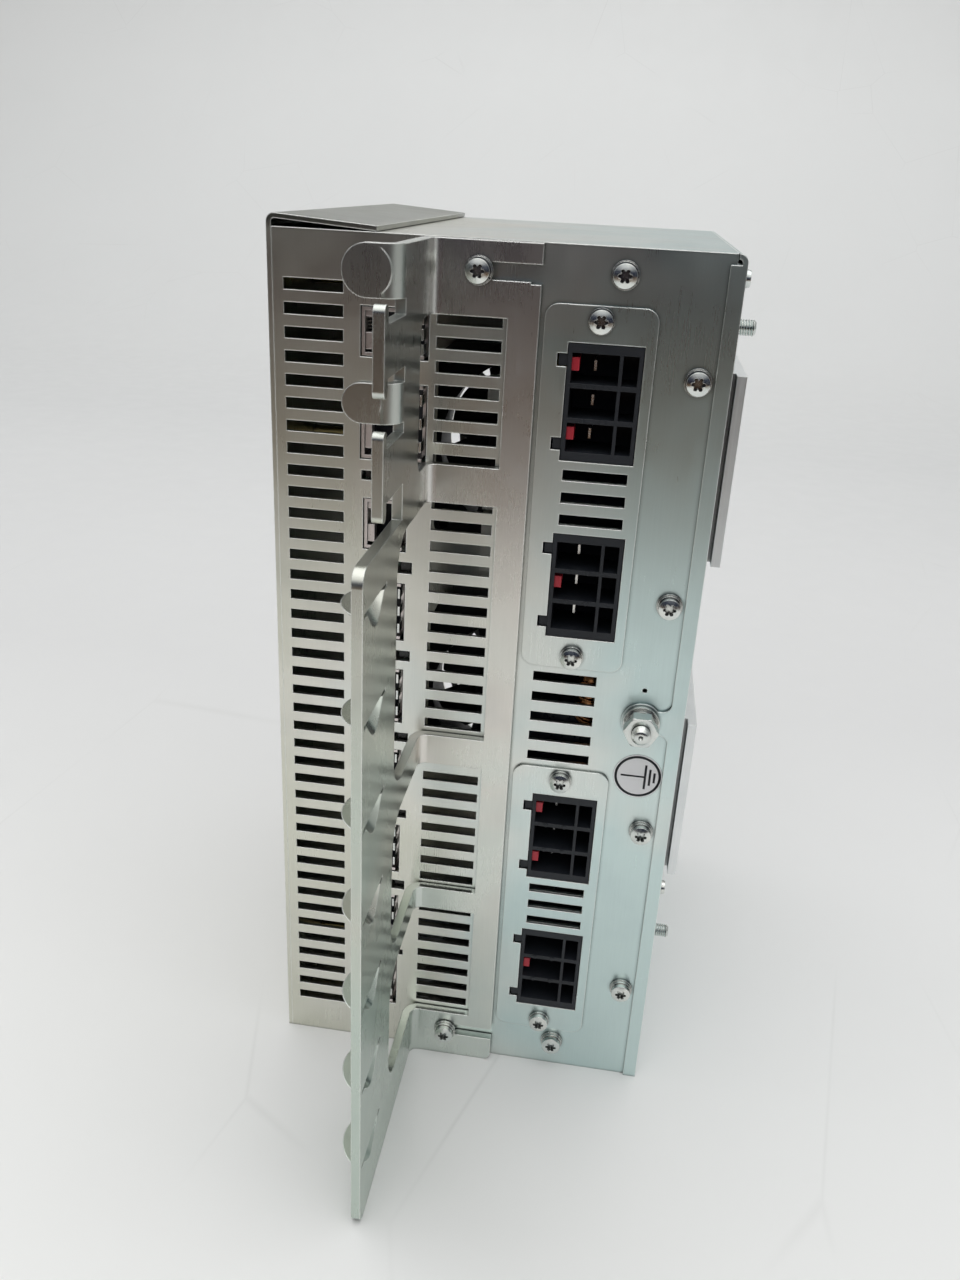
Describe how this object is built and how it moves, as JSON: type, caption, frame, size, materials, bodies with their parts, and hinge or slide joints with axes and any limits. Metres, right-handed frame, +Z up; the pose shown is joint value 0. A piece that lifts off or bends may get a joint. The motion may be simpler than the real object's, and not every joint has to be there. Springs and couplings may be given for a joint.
{
  "type": "servo drive",
  "caption": "Tall sheet-metal servo drive with a slotted front, pole sockets, signal jacks, a side-mounted cooling face and a bolted cable plate.",
  "frame": {"origin": "middle of the flat underside of the case, on the surface it stands on", "axes": "+Z up, +Y from the slotted front to the fan side, +X towards the cooling blocks"},
  "size_m": [0.1455, 0.2408, 0.3017],
  "materials": {
    "zinc_sheet": "zinc-plated sheet, satin, faint brushed grain and clear passivation tints",
    "bracket_sheet": "zinc-plated 3 mm sheet, satin",
    "bright_steel": "bright zinc-plated fasteners",
    "black_plastic": "moulded black connector plastic, fine matt grain",
    "fan_plastic": "glass-filled black fan plastic",
    "key_plastic": "red moulded coding keys",
    "pale_plastic": "ivory moulded plug plastic",
    "light_plastic": "smoked light windows, unlit",
    "contact_metal": "tin and gold plated contacts",
    "jack_shell": "tinned shield cans",
    "spacer_brass": "turned brass",
    "aluminium": "extruded, saw-cut aluminium",
    "circuit_board": "green solder mask",
    "chip_plastic": "moulded packages",
    "capacitor_sleeve": "shrink sleeve with bare aluminium tops",
    "copper_wire": "enamelled copper winding",
    "label_film": "printed film"
  },
  "bodies": {
    "case": {"front_panel": "zinc_sheet", "left_cover": "zinc_sheet", "right_cover": "zinc_sheet", "top_panel": "zinc_sheet", "bottom_panel": "zinc_sheet", "back_panel": "zinc_sheet", "connector_plate_upper": "zinc_sheet", "connector_plate_lower": "zinc_sheet", "power_connector_1": "black_plastic", "power_connector_2": "black_plastic", "power_connector_3": "black_plastic", "power_connector_4": "black_plastic", "power_pins": "contact_metal", "coding_keys": "key_plastic", "bus_jack_1": "jack_shell", "bus_jack_2": "jack_shell", "signal_jack_1": "jack_shell", "signal_jack_2": "jack_shell", "signal_jack_3": "jack_shell", "signal_jack_4": "jack_shell", "signal_jack_5": "jack_shell", "signal_jack_6": "jack_shell", "signal_jack_7": "jack_shell", "jack_contacts": "contact_metal", "jack_springs": "bright_steel", "status_lights": "light_plastic", "earth_stud": "bright_steel", "earth_washers": "bright_steel", "earth_nut": "bright_steel", "earth_label": "label_film", "case_screws": "bright_steel", "case_washers": "bright_steel", "plate_screws": "bright_steel", "plate_washers": "bright_steel", "bracket_screws": "bright_steel", "bracket_washers": "bright_steel", "heatsink_upper": "aluminium", "heatsink_lower": "aluminium", "mounting_studs": "bright_steel", "side_screws": "bright_steel", "power_board": "circuit_board", "control_board": "circuit_board", "driver_board": "circuit_board", "board_spacers": "spacer_brass", "capacitors": "capacitor_sleeve", "power_modules": "chip_plastic", "filter_choke": "copper_wire", "relays": "chip_plastic", "control_chips": "chip_plastic", "jumper_plugs": "pale_plastic", "fan_frame_upper": "fan_plastic", "fan_frame_lower": "fan_plastic", "fan_screws": "bright_steel", "case_rivets": "bright_steel"},
    "bracket": {"cable_bracket": "bracket_sheet"},
    "rotor_upper": {"fan_rotor_upper": "fan_plastic"},
    "rotor_lower": {"fan_rotor_lower": "fan_plastic"}
  },
  "joints": [
    {"name": "bracket_slide", "type": "slide", "parent": "case", "child": "bracket", "axis": [-1, 0, 0], "range_m": [0, 0.02]},
    {"name": "fan_spin_upper", "type": "hinge", "parent": "case", "child": "rotor_upper", "pos_m": [0, 0.064, 0.208], "axis": [0, 1, 0], "continuous": true},
    {"name": "fan_spin_lower", "type": "hinge", "parent": "case", "child": "rotor_lower", "pos_m": [0, 0.064, 0.09], "axis": [0, 1, 0], "continuous": true}
  ]
}
